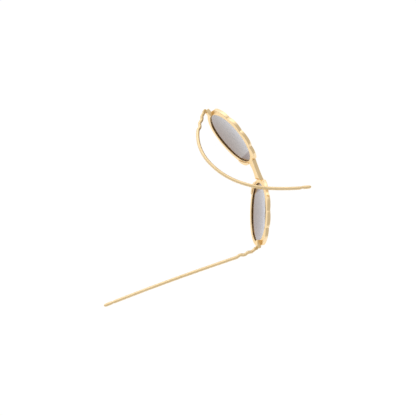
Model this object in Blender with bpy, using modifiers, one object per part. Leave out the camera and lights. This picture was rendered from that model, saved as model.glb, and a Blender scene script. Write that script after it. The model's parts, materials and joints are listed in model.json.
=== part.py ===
"""Gold-coloured metal sunglasses for a baby, one arm folded in and one open.

Two scalloped rims hold tinted lenses, a bridge and two end pieces join on to them, and two springy wire
arms turn on vertical hinge screws. The right arm is open and straight. The left arm is turned in and
bowed, and rests above the other rim's brow.

Sizes are in millimetres and are turned to metres where a shape is made. +Z is up, +Y points to the back
of the wearer's head and +X is the wearer's left. The rims and the open arm's tip stand on z = 0, and the
origin is under the middle of the whole.
"""

import math

import bmesh
import bpy
from mathutils import Vector

MM = 0.001
LEFT, RIGHT = 1, -1
SIDE_NAMES = {LEFT: "left", RIGHT: "right"}

# Lens openings: nearly round, a little fuller towards the nose and flatter at the top
LENS_RADIUS = 20.3
LENS_SKEW = -0.037
LENS_LOBES = -0.022
LENS_CROWN = -0.05
LENS_SPACING = 56.4

# Curve of the front: each lens lies on a sphere, and its rim is flat and turned round the face
BASE_RADIUS = 100.0
WRAP = math.radians(19.1)

# Rims
FRONT_DEPTH = 2.6
RIM_WIDTH = 2.7
BROW_EXTRA = 0.4
SCALLOP_HEIGHT = 1.6
SCALLOP_ROUNDNESS = 0.8
SCALLOP_SPAN = 32.2
BROW_START = 24.4
BROW_LOBES = 3.87
BROW_LEAN = 5.1
BROW_FADE = 24.0
BROW_STEP = 0.8
CHAMFER = 0.25
RIM_STATIONS = 120

# Lenses and the groove they sit in
FIT_GAP = 0.3
LENS_THICKNESS = 0.7
LENS_SET_BACK = 1.1
GROOVE_GAP = 0.3
GROOVE_DEPTH = 0.9
LENS_RINGS = (0.12, 0.42, 0.72, 0.94)
LENS_STATIONS = 72

# Bridge
BRIDGE_REACH = 11.0
BRIDGE_TOP = 10.4
BRIDGE_HEIGHT = 7.2
BRIDGE_DEPTH = 3.0
BRIDGE_BACK = -4.0
BRIDGE_SWEEP = 0.6
BRIDGE_ARCH = 0.3
NOSE_ARCH_RADIUS = 7.5
NOSE_ARCH_SHARE = 0.95
BRIDGE_STATIONS = 20

# End pieces and hinges
HINGE_UP = 2.0
HINGE_HEIGHT = 4.4
HINGE_ANGLE = 10.0
HINGE_OUT = 3.33
HINGE_BACK = 2.96
KNUCKLE_RADIUS = 1.25
KNUCKLE_SLOT = 2.6
EYE_HEIGHT = 2.3
PIN_RADIUS = 0.58
RUNNING_GAP = 0.08
SWING_GAP = 0.3
END_PIECE_INSIDE = -2.4
END_PIECE_BACK = 2.5
END_PIECE_BEVEL = 0.3
BORE_OVERRUN = 1.0
SCREW_HEAD_RADIUS = 1.05
SCREW_HEAD_HEIGHT = 0.5
SCREW_HEAD_GAP = 0.12
SCREW_SLOT_WIDTH = 0.35
SCREW_SLOT_DEPTH = 0.3
SCREW_SLOT_OVERRUN = 0.5
END_PIN_RADIUS = 0.35
END_PIN_GAP = 0.2
END_PIN_OUT = -1.1
END_PIN_START = -1.5
END_PIN_END = 1.2
HEAD_DOME = ((0.0, 1.0), (0.4, 1.0), (0.82, 0.88), (1.0, 0.55), (1.0, 0.0))

# Nose pads
PAD_START = 184.0
PAD_END = 226.0
PAD_HALF_WIDTH = 1.25
PAD_HALF_THICKNESS = 0.5
PAD_OUT = -1.3
PAD_STATIONS = 16
PAD_SIDES = 14
PAD_END_SHARE = 0.97
PAD_PIN_RADIUS = 0.35
PAD_PIN_GAP = 0.2
PAD_PIN_OUT = -1.0
PAD_PIN_DEPTH = 1.5

# Wire arms: the heading is measured from straight outwards, 90 being straight back
WIRE_RADIUS = 1.08
STUB_ROOT = 0.8
STUB_LENGTH = 3.2
WAVE_LENGTH = 5.8
WAVE_COUNT = 2
WAVE_HEIGHT = 0.8
FINE_STEP = 0.7
BEND_STEP = 2.2
RISE_EASE = 14.0
TIP_LENGTH = 6.5
TIP_SWELL = 1.04
TIP_PROFILE = ((0.0, 1.0), (0.45, TIP_SWELL), (0.75, TIP_SWELL), (0.88, 0.9), (0.96, 0.6), (1.0, 0.25))
LEFT_HEADING = 132.0
LEFT_BENDS = ((3.5, 0), (3.5, 12), (5.6, 0), (27.5, 50.6), (24, 30.3), (18, 22.2), (32.6, 11.4))
LEFT_RISE_RUN = 78.0
BROW_CLEARANCE = 0.4
RIGHT_HEADING = 72.3
RIGHT_BENDS = ((3.5, 0), (3.5, 20), (101.5, -3.6))

# How round the turned and bent pieces are
SMALL_SIDES = 16
ROUND_SIDES = 32
TURNED_SIDES = 24
WIRE_SIDES = 12
MERGE_DISTANCE = 0.01
SHARP_ANGLE = 35.0
SURFACE_ROUGHNESS = 0.3

GOLD = (0.83, 0.61, 0.33)
DARK_GOLD = (0.62, 0.42, 0.20)
LENS_TINT = (0.16, 0.12, 0.09)


def opening_radius(angle):
    """Radius of the lens opening. The angle is in degrees, from straight outwards and up over the brow."""
    turn = math.radians(angle)
    crown = LENS_CROWN * max(0.0, math.sin(turn)) ** 4
    return LENS_RADIUS * (1 + LENS_SKEW * math.sin(2 * turn) + LENS_LOBES * math.sin(3 * turn) + crown)


def rim_width(side, angle):
    """Width of the rim outside the opening: scallops along the brow, which ends in a step by the nose."""
    lobes = ((angle - side * BROW_LEAN - BROW_START + 90) % 360 - 90) / SCALLOP_SPAN
    if 0.5 < lobes < math.floor(BROW_LOBES) + 0.5:
        bump = math.sin(math.pi * (lobes % 1)) ** SCALLOP_ROUNDNESS
        return RIM_WIDTH + BROW_EXTRA + SCALLOP_HEIGHT * bump
    before = max(0.0, -lobes * SCALLOP_SPAN / BROW_FADE)
    after = max(0.0, (lobes - BROW_LOBES) * SCALLOP_SPAN / BROW_STEP)
    left = max(0.0, 1 - before - after)
    return RIM_WIDTH + (BROW_EXTRA + SCALLOP_HEIGHT) * left * left * (3 - 2 * left)


def angles(count):
    return [360 * i / count for i in range(count)]


def rim_angles(side):
    """Where the rim's sections are: evenly round it, in each notch of the brow and at its end's step."""
    start = BROW_START + side * BROW_LEAN
    end = start + SCALLOP_SPAN * BROW_LOBES
    found = [start + SCALLOP_SPAN * i for i in range(1, math.floor(BROW_LOBES) + 1)] + [end, end + BROW_STEP]
    apart = 180 / RIM_STATIONS
    for angle in angles(RIM_STATIONS):
        if all(abs((angle - other + 180) % 360 - 180) > apart for other in found):
            found.append(angle)
    return sorted(found)


def rim_reach(direction):
    """How far the rims reach above the lens centres, or below them."""
    reach = 0.0
    for side in (LEFT, RIGHT):
        for angle in rim_angles(side):
            outer = opening_radius(angle) + rim_width(side, angle)
            reach = max(reach, direction * outer * math.sin(math.radians(angle)))
    return reach


UP, DOWN = 1, -1
LENS_HEIGHT = rim_reach(DOWN)


def on_front(side, out, up, back):
    """A point this far outwards and up from a lens centre, and behind the back of the rims."""
    squeeze = (BASE_RADIUS - back) / BASE_RADIUS
    sag = math.sqrt(BASE_RADIUS**2 - out**2 - up**2)
    across = out * squeeze
    behind = BASE_RADIUS - sag * squeeze
    x = LENS_SPACING / 2 + across * math.cos(WRAP) - behind * math.sin(WRAP)
    y = across * math.sin(WRAP) + behind * math.cos(WRAP)
    return Vector((side * x, y, up * squeeze + LENS_HEIGHT))


def round_lens(side, angle, radius, back):
    """The point of the front's curve at this angle and distance round a lens centre."""
    turn = math.radians(angle)
    return on_front(side, radius * math.cos(turn), radius * math.sin(turn), back)


def flat(side, out, up, back):
    """A step in a rim's flat plane, outwards and up, and behind it."""
    x = out * math.cos(WRAP) - back * math.sin(WRAP)
    y = out * math.sin(WRAP) + back * math.cos(WRAP)
    return Vector((side * x, y, up))


def on_rim(side, angle, beyond, back):
    """A point this far outside the lens opening's edge, and behind the back of the rim."""
    turn = math.radians(angle)
    edge = round_lens(side, angle, opening_radius(angle), 0)
    return edge + flat(side, beyond * math.cos(turn), beyond * math.sin(turn), back)


def finish(mesh, name, colour, metallic):
    """Puts the mesh among the glasses' pieces, smooth shaded and with a material of its own."""
    item = bpy.data.objects.new(name, mesh)
    glasses.objects.link(item)
    smooth(mesh)
    dress(item, name, colour, metallic)
    return item


def smooth(mesh):
    mesh.shade_smooth()
    mesh.set_sharp_from_angle(angle=math.radians(SHARP_ANGLE))


def dress(item, name, colour, metallic):
    material = bpy.data.materials.new(f"{name}_material")
    material.use_nodes = True
    surface = material.node_tree.nodes["Principled BSDF"]
    surface.inputs["Base Color"].default_value = (*colour, 1)
    surface.inputs["Metallic"].default_value = metallic
    surface.inputs["Roughness"].default_value = SURFACE_ROUGHNESS
    item.data.materials.append(material)


def loft(name, rings, ends):
    """A mesh through these rings of points, either joined in a loop or closed by a cap at each end."""
    build = bmesh.new()
    rows = [[build.verts.new(point * MM) for point in ring] for ring in rings]
    following = rows[1:] + rows[:1] if ends == "joined" else rows[1:]
    for near, far in zip(rows, following):
        for i, corner in enumerate(near):
            j = (i + 1) % len(near)
            build.faces.new((corner, near[j], far[j], far[i]))
    if ends == "capped":
        build.faces.new(rows[0])
        build.faces.new(rows[-1])
    bmesh.ops.recalc_face_normals(build, faces=build.faces)
    mesh = bpy.data.meshes.new(name)
    build.to_mesh(mesh)
    build.free()
    return mesh


def prism(name, outline, low, high):
    """A mesh that stands on this plan outline, between two heights."""
    return loft(name, [[Vector((x, y, z)) for x, y in outline] for z in (low, high)], "capped")


def rod(name, start, end, radius, sides, collection):
    """A round bar between two points."""
    line = end - start
    bpy.ops.mesh.primitive_cylinder_add(
        vertices=sides, radius=radius * MM, depth=line.length * MM, end_fill_type="NGON"
    )
    item = bpy.context.object
    item.name = item.data.name = name
    item.location = (start + end) / 2 * MM
    item.rotation_mode = "QUATERNION"
    item.rotation_quaternion = line.to_track_quat("Z", "Y")
    for holder in list(item.users_collection):
        holder.objects.unlink(item)
    collection.objects.link(item)
    return item


def turned(name, profile, centre):
    """A piece turned on a lathe, from (radius, height) points that run down from its top."""
    mesh = bpy.data.meshes.new(name)
    points = [(radius * MM, 0, height * MM) for radius, height in profile]
    mesh.from_pydata(points, [(i, i + 1) for i in range(len(points) - 1)], [])
    item = finish(mesh, name, DARK_GOLD, 1.0)
    item.location = centre * MM
    spin = item.modifiers.new("spin", "SCREW")
    spin.angle = math.tau
    spin.steps = spin.render_steps = TURNED_SIDES
    spin.use_merge_vertices = True
    spin.merge_threshold = MERGE_DISTANCE * MM
    spin.use_smooth_shade = True
    return item


def combine(item, other, operation):
    """Adds a Boolean of the item with another object."""
    step = item.modifiers.new(f"{operation.lower()}_{other.name}", "BOOLEAN")
    step.operation = operation
    step.solver = "EXACT"
    step.object = other


def helper(item):
    item.hide_render = True
    item.display_type = "WIRE"
    return item


def helper_mesh(mesh, name):
    item = bpy.data.objects.new(name, mesh)
    cutters.objects.link(item)
    return helper(item)


def rim_section(side, angle):
    """The rim's cross-section: flat back and front, chamfered corners and the lens groove."""
    width = rim_width(side, angle)
    groove_back = -(LENS_SET_BACK - GROOVE_GAP)
    groove_front = -(LENS_SET_BACK + LENS_THICKNESS + GROOVE_GAP)
    corners = (
        (CHAMFER, 0),
        (width - CHAMFER, 0),
        (width, -CHAMFER),
        (width, CHAMFER - FRONT_DEPTH),
        (width - CHAMFER, -FRONT_DEPTH),
        (CHAMFER, -FRONT_DEPTH),
        (0, CHAMFER - FRONT_DEPTH),
        (0, groove_front),
        (GROOVE_DEPTH, groove_front),
        (GROOVE_DEPTH, groove_back),
        (0, groove_back),
        (0, -CHAMFER),
    )
    return [on_rim(side, angle, beyond, back) for beyond, back in corners]


def make_rim(side):
    name = f"rim_{SIDE_NAMES[side]}"
    mesh = loft(name, [rim_section(side, angle) for angle in rim_angles(side)], "joined")
    return finish(mesh, name, GOLD, 1.0)


def rim_envelope(side, label, reach_back):
    """The rim's outline with the fit gap round it, filled in, to cut what joins on to the rim."""
    name = f"rim_envelope_{label}_{SIDE_NAMES[side]}"
    depths = (-2 * FRONT_DEPTH, -FRONT_DEPTH, reach_back)
    rings = []
    for back in depths:
        outline = []
        for angle in rim_angles(side):
            outline.append(on_rim(side, angle, rim_width(side, angle) + FIT_GAP, back))
        rings.append(outline)
    return helper_mesh(loft(name, rings, "capped"), name)


def make_lens(side):
    """A thin plate on the front's curve, its edge inside the groove."""
    name = f"lens_{SIDE_NAMES[side]}"
    seat = GROOVE_DEPTH - FIT_GAP
    back_rings, front_rings = [], []
    for rings, back in ((back_rings, -LENS_SET_BACK), (front_rings, -LENS_SET_BACK - LENS_THICKNESS)):
        for share in LENS_RINGS:
            ring = []
            for angle in angles(LENS_STATIONS):
                ring.append(round_lens(side, angle, share * (opening_radius(angle) + seat), back))
            rings.append(ring)
        rings.append([on_rim(side, angle, seat, back) for angle in angles(LENS_STATIONS)])
    return finish(loft(name, back_rings + front_rings[::-1], "capped"), name, LENS_TINT, 0.0)


def make_bridge():
    """A chamfered bar between the rims, bowed back a little and arched at the middle."""
    rings = []
    for i in range(BRIDGE_STATIONS + 1):
        share = 2 * i / BRIDGE_STATIONS - 1
        back = BRIDGE_BACK - BRIDGE_SWEEP * share**2
        top = LENS_HEIGHT + BRIDGE_TOP - BRIDGE_ARCH * share**2
        aside = min(abs(share) * BRIDGE_REACH, NOSE_ARCH_RADIUS * NOSE_ARCH_SHARE)
        arch = NOSE_ARCH_RADIUS - math.sqrt(NOSE_ARCH_RADIUS**2 - aside**2)
        low = LENS_HEIGHT + BRIDGE_TOP - BRIDGE_HEIGHT - arch
        front = back - BRIDGE_DEPTH
        corners = (
            (back, top - CHAMFER),
            (back - CHAMFER, top),
            (front + CHAMFER, top),
            (front, top - CHAMFER),
            (front, low + CHAMFER),
            (front + CHAMFER, low),
            (back - CHAMFER, low),
            (back, low + CHAMFER),
        )
        rings.append([Vector((share * BRIDGE_REACH, y, z)) for y, z in corners])
    bridge = finish(loft("bridge", rings, "capped"), "bridge", GOLD, 1.0)
    for side in (LEFT, RIGHT):
        combine(bridge, rim_envelope(side, "bridge", FRONT_DEPTH), "DIFFERENCE")


def on_lug(side, out, back):
    """A plan point beside the rim's outer edge by the hinge, outwards along the rim and behind its back."""
    edge = on_rim(side, HINGE_ANGLE, RIM_WIDTH, 0)
    place = edge + flat(side, out, 0, back)
    return Vector((place.x, place.y, 0))


def at_height(plan, height):
    return Vector((plan.x, plan.y, LENS_HEIGHT + height))


def hinge_point(side, height=HINGE_UP):
    return at_height(on_lug(side, HINGE_OUT, HINGE_BACK), height)


def make_end_piece(side):
    """The plate on the back of the rim's corner, with the hinge's two outer knuckles."""
    name = f"end_piece_{SIDE_NAMES[side]}"
    low, high = HINGE_UP - HINGE_HEIGHT / 2, HINGE_UP + HINGE_HEIGHT / 2
    plan = (
        (END_PIECE_INSIDE, FIT_GAP),
        (HINGE_OUT, FIT_GAP),
        (HINGE_OUT, END_PIECE_BACK),
        (END_PIECE_INSIDE, END_PIECE_BACK),
    )
    outline = [on_lug(side, out, back).xy for out, back in plan]
    mesh = prism(name, outline, LENS_HEIGHT + low, LENS_HEIGHT + high)
    block = finish(mesh, name, GOLD, 1.0)
    edges = block.modifiers.new("edges", "BEVEL")
    edges.width = END_PIECE_BEVEL * MM
    edges.segments = 2

    knuckles = rod(
        f"{name}_knuckles",
        hinge_point(side, low),
        hinge_point(side, high),
        KNUCKLE_RADIUS,
        ROUND_SIDES,
        cutters,
    )
    combine(block, helper(knuckles), "UNION")

    slot_low, slot_high = HINGE_UP - KNUCKLE_SLOT / 2, HINGE_UP + KNUCKLE_SLOT / 2
    slot = rod(
        f"{name}_slot",
        hinge_point(side, slot_low),
        hinge_point(side, slot_high),
        KNUCKLE_RADIUS + SWING_GAP,
        ROUND_SIDES,
        cutters,
    )
    combine(block, helper(slot), "DIFFERENCE")

    bore = rod(
        f"{name}_bore",
        hinge_point(side, low - BORE_OVERRUN),
        hinge_point(side, high + BORE_OVERRUN),
        PIN_RADIUS + RUNNING_GAP,
        ROUND_SIDES,
        cutters,
    )
    combine(block, helper(bore), "DIFFERENCE")

    combine(block, rim_envelope(side, "end", FIT_GAP), "DIFFERENCE")
    return block


def cut_screw_slot(screw, head):
    """A driver slot across the screw's head."""
    reach = SCREW_HEAD_RADIUS + SCREW_SLOT_OVERRUN
    half = SCREW_SLOT_WIDTH / 2
    corners = ((-reach, -half), (reach, -half), (reach, half), (-reach, half))
    outline = [(head.x + x, head.y + y) for x, y in corners]
    name = f"{screw.name}_slot"
    mesh = prism(name, outline, head.z - SCREW_SLOT_DEPTH, head.z + SCREW_SLOT_OVERRUN)
    slot = helper_mesh(mesh, name)
    combine(screw, slot, "DIFFERENCE")


def make_hinge_screw(side):
    under = HINGE_HEIGHT + SCREW_HEAD_GAP
    head = [(SCREW_HEAD_RADIUS * out, under + SCREW_HEAD_HEIGHT * up) for out, up in HEAD_DOME]
    profile = [*head, (PIN_RADIUS, under), (PIN_RADIUS, 0), (0, 0)]
    foot = hinge_point(side, HINGE_UP - HINGE_HEIGHT / 2)
    screw = turned(f"hinge_screw_{SIDE_NAMES[side]}", profile, foot)
    cut_screw_slot(screw, foot + Vector((0, 0, under + SCREW_HEAD_HEIGHT)))
    return screw


def hidden_pin(name, start, end, radius, gap, pieces):
    """A pin inside these pieces, in a blind hole with this gap round it."""
    pin = rod(name, start, end, radius, SMALL_SIDES, glasses)
    smooth(pin.data)
    dress(pin, name, DARK_GOLD, 1.0)
    spare = (end - start).normalized() * gap
    hole = helper(rod(f"{name}_hole", start - spare, end + spare, radius + gap, SMALL_SIDES, cutters))
    for piece in pieces:
        combine(piece, hole, "DIFFERENCE")


def make_end_pin(side, rim, block):
    """The pin that holds the end piece to the back of the rim."""
    start = at_height(on_lug(side, END_PIN_OUT, END_PIN_START), HINGE_UP)
    end = at_height(on_lug(side, END_PIN_OUT, END_PIN_END), HINGE_UP)
    hidden_pin(f"end_pin_{SIDE_NAMES[side]}", start, end, END_PIN_RADIUS, END_PIN_GAP, (block, rim))


def make_nose_pad(side, rim):
    """A slim rounded pad along the back of the rim beside the nose, held by a hidden pin."""
    name = f"nose_pad_{SIDE_NAMES[side]}"
    rings = []
    for i in range(PAD_STATIONS + 1):
        share = 2 * i / PAD_STATIONS - 1
        angle = PAD_START + (PAD_END - PAD_START) * (share + 1) / 2
        fullness = math.sqrt(1 - (PAD_END_SHARE * share) ** 2)
        middle = rim_width(side, angle) + PAD_OUT
        ring = []
        for turn in angles(PAD_SIDES):
            wide = PAD_HALF_WIDTH * fullness * math.cos(math.radians(turn))
            thick = PAD_HALF_THICKNESS * fullness * math.sin(math.radians(turn))
            lift = FIT_GAP + PAD_HALF_THICKNESS * fullness
            ring.append(on_rim(side, angle, middle + wide, lift + thick))
        rings.append(ring)
    pad = finish(loft(name, rings, "capped"), name, GOLD, 1.0)

    angle = (PAD_START + PAD_END) / 2
    middle = rim_width(side, angle) + PAD_PIN_OUT
    start = on_rim(side, angle, middle, -PAD_PIN_DEPTH)
    end = on_rim(side, angle, middle, FIT_GAP + PAD_HALF_THICKNESS)
    hidden_pin(f"pad_pin_{SIDE_NAMES[side]}", start, end, PAD_PIN_RADIUS, PAD_PIN_GAP, (pad, rim))


def climb(share, soft):
    """How much of a rise is done: an even slope, with this share of it to turn into and out of."""
    if share > 0.5:
        return 1 - climb(1 - share, soft)
    if share > soft:
        return (share - soft / 2) / (1 - soft)
    return share**2 / (2 * soft * (1 - soft))


def arm_line(heading, bends, rise, run):
    """Points along an arm from its hinge axis, with the wavy part near the hinge."""
    direction = math.radians(heading)
    place = Vector((0, 0))
    gone = 0.0
    line = []
    wave_start = STUB_LENGTH + FIT_GAP
    wave_end = wave_start + WAVE_LENGTH * WAVE_COUNT
    for length, turn in bends:
        waving = gone < wave_end
        step = FINE_STEP if waving else BEND_STEP
        count = math.ceil(length / step)
        for i in range(count):
            direction += math.radians(turn) / count / 2
            place += Vector((math.cos(direction), math.sin(direction))) * length / count
            direction += math.radians(turn) / count / 2
            gone += length / count
            aside = Vector((-math.sin(direction), math.cos(direction)))
            offset = 0.0
            if wave_start < gone < wave_end:
                offset = WAVE_HEIGHT / 2 * (1 - math.cos(math.tau * (gone - wave_start) / WAVE_LENGTH))
            slope_run = run - STUB_LENGTH
            share = min(1.0, max(0.0, (gone - STUB_LENGTH) / slope_run))
            spot = place + aside * offset
            line.append((gone, Vector((spot.x, spot.y, rise * climb(share, RISE_EASE / slope_run)))))
    return line


def wire(name, points, radii, empty):
    """A round wire through these points, with flat closed ends."""
    curve = bpy.data.curves.new(name, "CURVE")
    curve.dimensions = "3D"
    curve.bevel_depth = WIRE_RADIUS * MM
    curve.bevel_resolution = WIRE_SIDES // 4 - 1
    curve.use_fill_caps = True
    spline = curve.splines.new("POLY")
    spline.points.add(len(points) - 1)
    for knot, point, radius in zip(spline.points, points, radii):
        knot.co = (*(point * MM), 1)
        knot.radius = radius
    spline.use_smooth = True
    item = bpy.data.objects.new(name, curve)
    glasses.objects.link(item)
    item.parent = empty
    dress(item, name, GOLD, 1.0)
    return item


def make_arm(side, heading, bends, rise, run):
    """One arm: the eye on the hinge screw, the wire and its rounded tip, all on an empty at the hinge."""
    label = SIDE_NAMES[side]
    axis = hinge_point(side)
    empty = bpy.data.objects.new(f"arm_axis_{label}", None)
    empty.location = axis * MM
    glasses.objects.link(empty)

    line = [(gone, Vector((side * p.x, p.y, p.z))) for gone, p in arm_line(heading, bends, rise, run)]
    total = line[-1][0]
    start = STUB_LENGTH + FIT_GAP
    end = total - TIP_LENGTH
    root = Vector((side * math.cos(math.radians(heading)), math.sin(math.radians(heading)), 0))
    body = [root * start] + [point for gone, point in line if start + FINE_STEP / 2 < gone <= end]
    tip = [point for gone, point in line if gone > end]
    wire(f"arm_{label}", body, [1.0] * len(body), empty)

    ahead = (tip[-1] - body[-1]).normalized()
    first = body[-1] + ahead * FIT_GAP
    spots = [first + (tip[-1] - first) * share for share, radius in TIP_PROFILE]
    wire(f"arm_tip_{label}", spots, [radius for share, radius in TIP_PROFILE], empty)

    name = f"arm_eye_{label}"
    half = Vector((0, 0, EYE_HEIGHT / 2))
    eye = rod(name, axis - half, axis + half, KNUCKLE_RADIUS, ROUND_SIDES, glasses)
    smooth(eye.data)
    dress(eye, name, GOLD, 1.0)
    eye.location = (0, 0, 0)
    eye.parent = empty
    near, far = axis + root * STUB_ROOT, axis + root * STUB_LENGTH
    stub = rod(f"{name}_stub", near, far, WIRE_RADIUS, TURNED_SIDES, cutters)
    combine(eye, helper(stub), "UNION")
    deep = Vector((0, 0, EYE_HEIGHT))
    bore = rod(f"{name}_bore", axis - deep, axis + deep, PIN_RADIUS + RUNNING_GAP, ROUND_SIDES, cutters)
    combine(eye, helper(bore), "DIFFERENCE")


def stand_over_origin():
    """Moves everything along, so that the origin is under the middle of the whole."""
    bpy.context.view_layer.update()
    corners = []
    for item in glasses.objects:
        corners += [item.matrix_world @ Vector(corner) for corner in item.bound_box]
    across = [corner.x for corner in corners]
    along = [corner.y for corner in corners]
    middle = Vector((min(across) + max(across), min(along) + max(along), 0)) / 2
    for item in (*glasses.objects, *cutters.objects):
        if item.parent is None:
            item.location -= middle


for item in list(bpy.data.objects):
    bpy.data.objects.remove(item, do_unlink=True)

glasses = bpy.data.collections.new("baby_sunglasses")
cutters = bpy.data.collections.new("cutters")
bpy.context.scene.collection.children.link(glasses)
bpy.context.scene.collection.children.link(cutters)

for side in (LEFT, RIGHT):
    rim = make_rim(side)
    make_lens(side)
    block = make_end_piece(side)
    make_end_pin(side, rim, block)
    make_hinge_screw(side)
    make_nose_pad(side, rim)
make_bridge()

right_length = sum(length for length, turn in RIGHT_BENDS)
right_drop = WIRE_RADIUS * TIP_SWELL - LENS_HEIGHT - HINGE_UP
left_rise = rim_reach(UP) + BROW_CLEARANCE + WIRE_RADIUS - HINGE_UP
make_arm(LEFT, LEFT_HEADING, LEFT_BENDS, left_rise, LEFT_RISE_RUN)
make_arm(RIGHT, RIGHT_HEADING, RIGHT_BENDS, right_drop, right_length)
stand_over_origin()
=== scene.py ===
# Looks of a baby's gold-coloured metal sunglasses, seen from above and behind on a white table.
import json
import math

import bmesh
import bpy
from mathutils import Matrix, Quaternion, Vector

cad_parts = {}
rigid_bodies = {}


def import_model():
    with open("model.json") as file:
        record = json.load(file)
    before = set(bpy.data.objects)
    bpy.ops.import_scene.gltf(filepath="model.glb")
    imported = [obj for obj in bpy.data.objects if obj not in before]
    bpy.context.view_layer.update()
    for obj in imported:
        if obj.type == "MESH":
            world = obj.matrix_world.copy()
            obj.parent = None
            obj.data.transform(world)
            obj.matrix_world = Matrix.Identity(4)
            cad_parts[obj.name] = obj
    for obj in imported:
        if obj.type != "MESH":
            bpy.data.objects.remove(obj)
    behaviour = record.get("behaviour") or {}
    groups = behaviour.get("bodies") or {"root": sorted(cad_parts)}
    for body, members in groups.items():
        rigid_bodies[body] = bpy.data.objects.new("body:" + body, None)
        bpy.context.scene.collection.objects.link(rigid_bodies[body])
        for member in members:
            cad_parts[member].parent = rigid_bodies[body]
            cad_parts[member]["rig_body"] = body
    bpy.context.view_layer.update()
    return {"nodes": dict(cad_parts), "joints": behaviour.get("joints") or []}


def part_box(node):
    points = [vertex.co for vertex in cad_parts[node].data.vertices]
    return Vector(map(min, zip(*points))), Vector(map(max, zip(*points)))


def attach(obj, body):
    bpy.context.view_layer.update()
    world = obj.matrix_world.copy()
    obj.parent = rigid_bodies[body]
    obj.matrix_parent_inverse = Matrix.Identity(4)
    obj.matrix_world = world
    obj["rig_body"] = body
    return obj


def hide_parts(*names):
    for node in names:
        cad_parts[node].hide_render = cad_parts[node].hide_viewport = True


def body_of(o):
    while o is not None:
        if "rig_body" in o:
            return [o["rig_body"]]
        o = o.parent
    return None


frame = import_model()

MM = 0.001

# Camera: above and behind the wearer, rolled so that the front hangs down the picture
AIM_FROM_LENSES = Vector((-13.466, 33.565, 0.068)) * MM
CAMERA_AZIMUTH = math.radians(-160.141)
CAMERA_ELEVATION = math.radians(75.123)
CAMERA_ROLL = math.radians(50.341)
CAMERA_DISTANCE = 581.68 * MM
CAMERA_LENS = 73.508

# Table: the share of its white that is its own glow, how bright that is, and what metal sees on top
FLOOR_SIZE = 6.0
FLOOR_GLOW = 0.92
FLOOR_LEVEL = 1.05
FLOOR_GLEAM = 0.4
GLEAM_COLOUR = "E8EEFF"

# Room: dim up to this far across towards the wearer's left, and brightest from there on
DIM_UP_TO = 0.3
BRIGHT_FROM = 0.95
DIM_LEVEL = 0.66
BRIGHT_LEVEL = 1.8
BRIGHT_COLOUR = "F2F6FF"

# How far each rim is turned back round the face
WRAP = math.radians(19.1)

# Where the painted reflection of the gold bridge and nose pads, brown at the nasal end of each lens, fades
# out, from the middle of the front
PAINTED_REFLECTION_FULL_TO = 13.2 * MM
PAINTED_REFLECTION_GONE_FROM = 14.2 * MM

# Clean quads from the CAD triangles, and the hollow edges that stay crisp
MERGE = 0.01 * MM
QUAD_ANGLE = math.radians(60)
HOLLOW_ANGLE = math.radians(14)

# How far soldered pieces sink into the rim, and how deep the skin is that moves
SINK = 0.6 * MM
LUG_SKIN = 0.1 * MM
PAD_SKIN = 0.45 * MM
BRIDGE_STRETCH = 1.06

# The wire's ends run into each other, and it swells for what smoothing takes off
LAP = 1.2 * MM
WIRE_SKIN = 0.15 * MM
SWELL = 0.17 * MM

# Turned pieces
EDGE_BREAK = 0.12 * MM
SHARP_ANGLE = math.radians(40)

# What gold plating turns to where it is seen edge on: paler when it is bright, darker when it is dull
BRIGHT_EDGE = "FBEBC8"
DULL_EDGE = "D4B582"

SIDES = ("left", "right")


def direction(azimuth, elevation):
    """The direction from the object to something seen at this azimuth, 0 being the front, and elevation."""
    return Vector((
        math.sin(azimuth) * math.cos(elevation),
        -math.cos(azimuth) * math.cos(elevation),
        math.sin(elevation),
    ))


def colour(hex_value):
    """An sRGB hex colour as linear red, green, blue and alpha."""
    parts = [int(hex_value[i:i + 2], 16) / 255 for i in (0, 2, 4)]
    return (*(p / 12.92 if p <= 0.04045 else ((p + 0.055) / 1.055) ** 2.4 for p in parts), 1.0)


def add(tree, kind, settings=None, **links):
    """Adds a node, sets its properties or sockets, and links other nodes' outputs to its sockets."""
    node = tree.nodes.new(kind)
    for name, value in (settings or {}).items():
        if isinstance(name, int) or name in node.inputs:
            node.inputs[name].default_value = value
        else:
            setattr(node, name, value)
    for name, source in links.items():
        socket = node.inputs[int(name[1:])] if name[0] == "_" and name[1:].isdigit() else node.inputs[name]
        tree.links.new(source, socket)
    return node


def new_material(name):
    """A material with its node tree and its Principled node."""
    material = bpy.data.materials.new(name)
    material.use_nodes = True
    return material, material.node_tree, material.node_tree.nodes["Principled BSDF"]


def gold_plating():
    """Champagne gold plating on tumbled brass: pale, satin and even, so broad soft highlights."""
    material, tree, surface = new_material("satin_gold_plating")
    place = add(tree, "ShaderNodeTexCoord").outputs["Object"]
    # Tone of the plating bath, which drifts over about 12 mm
    tone = add(tree, "ShaderNodeTexNoise", {"Scale": 80.0, "Detail": 1.0}, Vector=place)
    golds = add(tree, "ShaderNodeMix", {
        "data_type": "RGBA", 6: colour("F4D5A0"), 7: colour("F9DDAE"),
    }, _0=tone.outputs["Fac"])
    # Tumbling marks, about 0.1 mm on the real metal and drawn 0.5 mm wide so that they show
    grain = add(tree, "ShaderNodeTexNoise", {"Scale": 2000.0, "Detail": 2.0}, Vector=place)
    sheen = add(tree, "ShaderNodeMapRange", {"To Min": 0.26, "To Max": 0.34}, Value=grain.outputs["Fac"])
    marks = add(tree, "ShaderNodeBump", {"Strength": 0.05, "Distance": 0.00002}, Height=grain.outputs["Fac"])
    tree.links.new(golds.outputs[2], surface.inputs["Base Color"])
    tree.links.new(sheen.outputs["Result"], surface.inputs["Roughness"])
    tree.links.new(marks.outputs["Normal"], surface.inputs["Normal"])
    surface.inputs["Metallic"].default_value = 1.0
    surface.inputs["Specular Tint"].default_value = colour(BRIGHT_EDGE)
    return material


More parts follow.
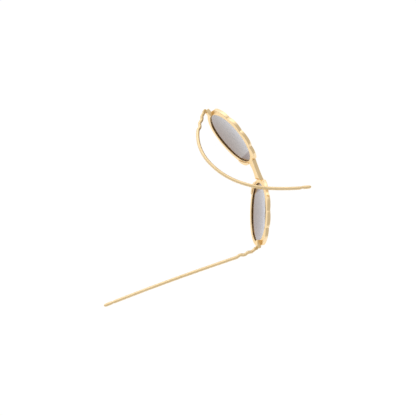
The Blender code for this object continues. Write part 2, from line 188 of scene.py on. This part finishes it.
def drawn_wire():
    """Gold-plated nickel silver wire, drawn and brushed: softer than the rims, so almost flat in tone."""
    material, tree, surface = new_material("drawn_gold_plated_wire")
    place = add(tree, "ShaderNodeTexCoord").outputs["Object"]
    # Tone of the plating bath, which drifts over about 12 mm
    tone = add(tree, "ShaderNodeTexNoise", {"Scale": 80.0, "Detail": 1.0}, Vector=place)
    golds = add(tree, "ShaderNodeMix", {
        "data_type": "RGBA", 6: colour("F2D6A2"), 7: colour("F7DEB0"),
    }, _0=tone.outputs["Fac"])
    # Die marks, a few hundredths of a millimetre apart and drawn 0.5 mm wide so that they show
    grain = add(tree, "ShaderNodeTexNoise", {"Scale": 2000.0, "Detail": 2.0}, Vector=place)
    sheen = add(tree, "ShaderNodeMapRange", {"To Min": 0.46, "To Max": 0.54}, Value=grain.outputs["Fac"])
    tree.links.new(golds.outputs[2], surface.inputs["Base Color"])
    tree.links.new(sheen.outputs["Result"], surface.inputs["Roughness"])
    surface.inputs["Metallic"].default_value = 1.0
    surface.inputs["Specular Tint"].default_value = colour(DULL_EDGE)
    return material


def turned_fastener():
    """Turned brass screws with thin gold plating: a deeper, browner gold that is a little shinier."""
    material, tree, surface = new_material("turned_brass_screw")
    place = add(tree, "ShaderNodeTexCoord").outputs["Object"]
    wear = add(tree, "ShaderNodeTexNoise", {"Scale": 1500.0, "Detail": 2.0}, Vector=place)
    golds = add(tree, "ShaderNodeMix", {
        "data_type": "RGBA", 6: colour("DDB878"), 7: colour("EBCB90"),
    }, _0=wear.outputs["Fac"])
    tree.links.new(golds.outputs[2], surface.inputs["Base Color"])
    surface.inputs["Metallic"].default_value = 1.0
    surface.inputs["Roughness"].default_value = 0.26
    return material


def tinted_lens():
    """CR-39 lens, greyer and lighter at the brow, darker and warmer at the cheek, and brown in the last 5 mm
    by the nose: a painted reflection of the gold bridge and nose pads.
    """
    material, tree, surface = new_material("dyed_cr39_lens")
    place = add(tree, "ShaderNodeTexCoord").outputs["Object"]
    spot = add(tree, "ShaderNodeSeparateXYZ", {}, _0=place)
    low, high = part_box("lens_left")
    # Lighter and greyer towards the top, darker and warmer towards the bottom
    height_share = add(tree, "ShaderNodeMapRange", {"From Min": low[2], "From Max": high[2]}, Value=spot.outputs["Z"])
    tints = add(tree, "ShaderNodeMix", {
        "data_type": "RGBA", 6: colour("99897D"), 7: colour("AFABA1"),
    }, _0=height_share.outputs["Result"])
    # The painted reflection of the gold bridge and nose pads, brown, starts 14 mm from the middle of the
    # front, with an edge 1 mm soft
    nose = lens_middle().x
    across = add(tree, "ShaderNodeMath", {"operation": "SUBTRACT", 1: nose}, _0=spot.outputs["X"])
    across = add(tree, "ShaderNodeMath", {"operation": "ABSOLUTE"}, _0=across.outputs[0])
    painted_reflection_share = add(tree, "ShaderNodeMapRange", {
        "From Min": PAINTED_REFLECTION_FULL_TO, "From Max": PAINTED_REFLECTION_GONE_FROM, "To Min": 1.0, "To Max": 0.0,
    }, Value=across.outputs[0])
    # Brown multiplied in at the nasal end: a painted reflection of the gold bridge and nose pads
    tints = add(tree, "ShaderNodeMix", {
        "data_type": "RGBA", "blend_type": "MULTIPLY", 7: colour("C4A88C"),
    }, _0=painted_reflection_share.outputs["Result"], _6=tints.outputs[2])
    tree.links.new(tints.outputs[2], surface.inputs["Base Color"])
    surface.inputs["Roughness"].default_value = 0.0
    surface.inputs["IOR"].default_value = 1.5
    surface.inputs["Transmission Weight"].default_value = 1.0
    return material


def white_floor():
    """A white table as bright as its sweep, with a faint shadow. Metal catches a little more of it."""
    material = bpy.data.materials.new("white_table")
    material.use_nodes = True
    tree = material.node_tree
    tree.nodes.clear()
    path = add(tree, "ShaderNodeLightPath")
    lit = add(tree, "ShaderNodeBsdfDiffuse", {"Color": colour("F7F7F7")})
    mirrored = add(tree, "ShaderNodeMath", {"operation": "SUBTRACT", "use_clamp": True},
                   _0=path.outputs["Is Glossy Ray"], _1=path.outputs["Is Transmission Ray"])
    level = add(tree, "ShaderNodeMath", {"operation": "MULTIPLY_ADD", 1: FLOOR_GLEAM, 2: FLOOR_LEVEL},
                _0=mirrored.outputs[0])
    tones = add(tree, "ShaderNodeMix", {
        "data_type": "RGBA", 6: colour("FFFFFF"), 7: colour(GLEAM_COLOUR),
    }, _0=mirrored.outputs[0])
    glow = add(tree, "ShaderNodeEmission", {}, Color=tones.outputs[2], Strength=level.outputs[0])
    seen = add(tree, "ShaderNodeMath", {"operation": "MAXIMUM"},
               _0=path.outputs["Is Camera Ray"], _1=path.outputs["Is Glossy Ray"])
    seen = add(tree, "ShaderNodeMath", {"operation": "MAXIMUM"},
               _0=seen.outputs[0], _1=path.outputs["Is Transmission Ray"])
    share = add(tree, "ShaderNodeMath", {"operation": "MULTIPLY", 1: FLOOR_GLOW}, _0=seen.outputs[0])
    mix = add(tree, "ShaderNodeMixShader", {}, _0=share.outputs[0], _1=lit.outputs[0], _2=glow.outputs[0])
    add(tree, "ShaderNodeOutputMaterial", {}, Surface=mix.outputs[0])
    return material


def make_floor():
    """The table, wide enough to fill every view."""
    bpy.ops.object.select_all(action="DESELECT")
    bpy.ops.mesh.primitive_plane_add(size=FLOOR_SIZE)
    floor = bpy.context.object
    floor.name = "table"
    floor.data.materials.append(white_floor())


def make_world():
    """A white room that is bright beyond the wearer's left and dim beyond the right."""
    world = bpy.data.worlds.new("studio")
    bpy.context.scene.world = world
    world.use_nodes = True
    tree = world.node_tree
    tree.nodes.clear()
    path = add(tree, "ShaderNodeLightPath")
    towards = add(tree, "ShaderNodeTexCoord").outputs["Generated"]
    across = add(tree, "ShaderNodeSeparateXYZ", {}, _0=towards)
    share = add(tree, "ShaderNodeMapRange", {
        "interpolation_type": "SMOOTHSTEP", "From Min": DIM_UP_TO, "From Max": BRIGHT_FROM,
    }, Value=across.outputs["X"])
    level = add(tree, "ShaderNodeMath", {
        "operation": "MULTIPLY_ADD", 1: BRIGHT_LEVEL - DIM_LEVEL, 2: DIM_LEVEL,
    }, _0=share.outputs["Result"])
    tones = add(tree, "ShaderNodeMix", {
        "data_type": "RGBA", 6: colour("FFFFFF"), 7: colour(BRIGHT_COLOUR),
    }, _0=share.outputs["Result"])
    room = add(tree, "ShaderNodeBackground", {}, Color=tones.outputs[2], Strength=level.outputs[0])
    white = add(tree, "ShaderNodeBackground", {"Color": colour("FFFFFF"), "Strength": 1.0})
    mix = add(tree, "ShaderNodeMixShader", {}, _0=path.outputs["Is Camera Ray"],
              _1=room.outputs[0], _2=white.outputs[0])
    add(tree, "ShaderNodeOutputWorld", {}, Surface=mix.outputs[0])


def lens_middle():
    """The middle of both lenses, which the camera is aimed from."""
    boxes = [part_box(f"lens_{side}") for side in SIDES]
    low = Vector([min(box[0][axis] for box in boxes) for axis in range(3)])
    high = Vector([max(box[1][axis] for box in boxes) for axis in range(3)])
    return (low + high) / 2


def make_camera():
    """A camera where the photo's was, as far as the outlines tell."""
    camera = bpy.data.objects.new("camera", bpy.data.cameras.new("camera"))
    bpy.context.scene.collection.objects.link(camera)
    bpy.context.scene.camera = camera
    back = direction(CAMERA_AZIMUTH, CAMERA_ELEVATION)
    camera.location = lens_middle() + AIM_FROM_LENSES + back * CAMERA_DISTANCE
    camera.rotation_mode = "QUATERNION"
    roll = Quaternion((0, 0, 1), CAMERA_ROLL)
    camera.rotation_quaternion = (-back).to_track_quat("-Z", "Y") @ roll
    camera.data.lens = CAMERA_LENS


def activate(piece):
    bpy.ops.object.select_all(action="DESELECT")
    piece.select_set(True)
    bpy.context.view_layer.objects.active = piece


def edit(piece):
    """Opens the piece for editing, with all of it selected."""
    activate(piece)
    bpy.ops.object.mode_set(mode="EDIT")
    bpy.ops.mesh.select_all(action="SELECT")


def stop_editing():
    bpy.ops.object.mode_set(mode="OBJECT")


def merged_copy(node, name):
    """The node's solid as one clean mesh of quads, standing for the node."""
    piece = bpy.data.objects.new(name, frame["nodes"][node].data.copy())
    bpy.context.scene.collection.objects.link(piece)
    edit(piece)
    bpy.ops.mesh.remove_doubles(threshold=MERGE)
    bpy.ops.mesh.tris_convert_to_quads(face_threshold=QUAD_ANGLE, shape_threshold=QUAD_ANGLE)
    stop_editing()
    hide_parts(node)
    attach(piece, body_of(frame["nodes"][node])[0])
    return piece


def crease_hollows(piece):
    """Keeps the notches of the brow and the walls of the groove crisp when the rim is made fine."""
    edit(piece)
    bpy.ops.mesh.select_all(action="DESELECT")
    mesh = bmesh.from_edit_mesh(piece.data)
    for edge in mesh.edges:
        if len(edge.link_faces) == 2 and edge.calc_face_angle_signed() < -HOLLOW_ANGLE:
            edge.select = True
    bmesh.update_edit_mesh(piece.data)
    bpy.ops.transform.edge_crease(value=1.0)
    stop_editing()


def seat(piece, towards, depth, run):
    """Runs the skin of the piece that faces this way into what it is soldered to."""
    edit(piece)
    bpy.ops.mesh.select_all(action="DESELECT")
    mesh = bmesh.from_edit_mesh(piece.data)
    furthest = max(vertex.co.dot(towards) for vertex in mesh.verts)
    for vertex in mesh.verts:
        vertex.select = vertex.co.dot(towards) > furthest - depth
    mesh.select_flush(True)
    bmesh.update_edit_mesh(piece.data)
    bpy.ops.transform.translate(value=towards * run)
    stop_editing()


def swell(piece, width):
    """Makes the piece thicker all round."""
    edit(piece)
    bpy.ops.transform.shrink_fatten(value=width)
    stop_editing()


def shift(piece, step):
    """Moves all of the piece."""
    edit(piece)
    bpy.ops.transform.translate(value=step)
    stop_editing()


def make_fine(piece, levels):
    """Rounds the piece off with a subdivision surface."""
    activate(piece)
    fine = piece.modifiers.new("fine", "SUBSURF")
    fine.levels = fine.render_levels = levels
    bpy.ops.object.modifier_apply(modifier=fine.name)
    bpy.ops.object.shade_smooth()


def finish(piece, material):
    """Gives a piece, or a CAD node that shows as it is, its finish."""
    piece.data.materials.clear()
    piece.data.materials.append(material)


def middle(piece):
    """The mean of the piece's corners."""
    return sum((vertex.co for vertex in piece.data.vertices), Vector()) / len(piece.data.vertices)


def make_rim(side):
    """The rim, rounded off except in its hollows."""
    rim = merged_copy(f"rim_{side}", f"{side}_rim")
    crease_hollows(rim)
    make_fine(rim, 2)
    finish(rim, plating)


def make_bridge():
    """The bridge, let into both rims."""
    bridge = merged_copy("bridge", "nose_bridge")
    edit(bridge)
    bpy.ops.transform.resize(value=(BRIDGE_STRETCH, 1, 1), center_override=middle(bridge))
    stop_editing()
    make_fine(bridge, 2)
    finish(bridge, plating)


def make_soldered(side, node, name, depth):
    """A piece that is soldered to the back of the rim."""
    piece = merged_copy(f"{node}_{side}", f"{side}_{name}")
    turn = WRAP if side == "left" else -WRAP
    backwards = Vector((-math.sin(turn), math.cos(turn), 0))
    seat(piece, -backwards, depth, SINK)
    make_fine(piece, 2)
    finish(piece, plating)


def make_arm(side):
    """The wire, its tip and the eye that turns on the hinge screw, each run on to the next."""
    hinge = next(Vector(joint["pos_m"]) for joint in frame["joints"] if side in joint["name"])
    eye = merged_copy(f"arm_eye_{side}", f"{side}_hinge_eye")
    shaft = merged_copy(f"arm_{side}", f"{side}_arm_wire")
    tip = merged_copy(f"arm_tip_{side}", f"{side}_arm_end")
    near = min((vertex.co for vertex in shaft.data.vertices), key=lambda place: (place - hinge).length)
    far = min((vertex.co for vertex in shaft.data.vertices), key=lambda place: (place - middle(tip)).length)
    inwards = hinge - near
    inwards.z = 0
    back = far - middle(tip)
    for piece in (shaft, tip):
        swell(piece, SWELL)
    # Back to where the tip ended and lay before it swelled
    shift(tip, back.normalized() * SWELL + Vector((0, 0, SWELL)))
    seat(shaft, inwards.normalized(), WIRE_SKIN, LAP)
    seat(tip, back.normalized(), WIRE_SKIN, LAP)
    for piece in (shaft, tip):
        make_fine(piece, 2)
        finish(piece, wire)
    round_off(eye)
    finish(eye, wire)


def round_off(piece):
    """Breaks the sharp edges of a turned piece."""
    activate(piece)
    edges = piece.modifiers.new("edges", "BEVEL")
    edges.width = EDGE_BREAK
    edges.segments = 2
    edges.angle_limit = SHARP_ANGLE
    bpy.ops.object.modifier_apply(modifier=edges.name)
    bpy.ops.object.shade_smooth_by_angle(angle=SHARP_ANGLE)


def make_lens(side):
    """The lens, a little rounder at its edge."""
    lens = merged_copy(f"lens_{side}", f"{side}_lens")
    make_fine(lens, 1)
    finish(lens, glass)


bpy.context.scene.view_settings.view_transform = "Standard"
make_camera()
make_world()
make_floor()

plating = gold_plating()
wire = drawn_wire()
screws = turned_fastener()
glass = tinted_lens()
for side in SIDES:
    make_rim(side)
    make_lens(side)
    make_soldered(side, "end_piece", "corner_lug", LUG_SKIN)
    make_soldered(side, "nose_pad", "pad", PAD_SKIN)
    make_arm(side)
    for part in ("end_pin", "hinge_screw", "pad_pin"):
        finish(frame["nodes"][f"{part}_{side}"], screws)
make_bridge()
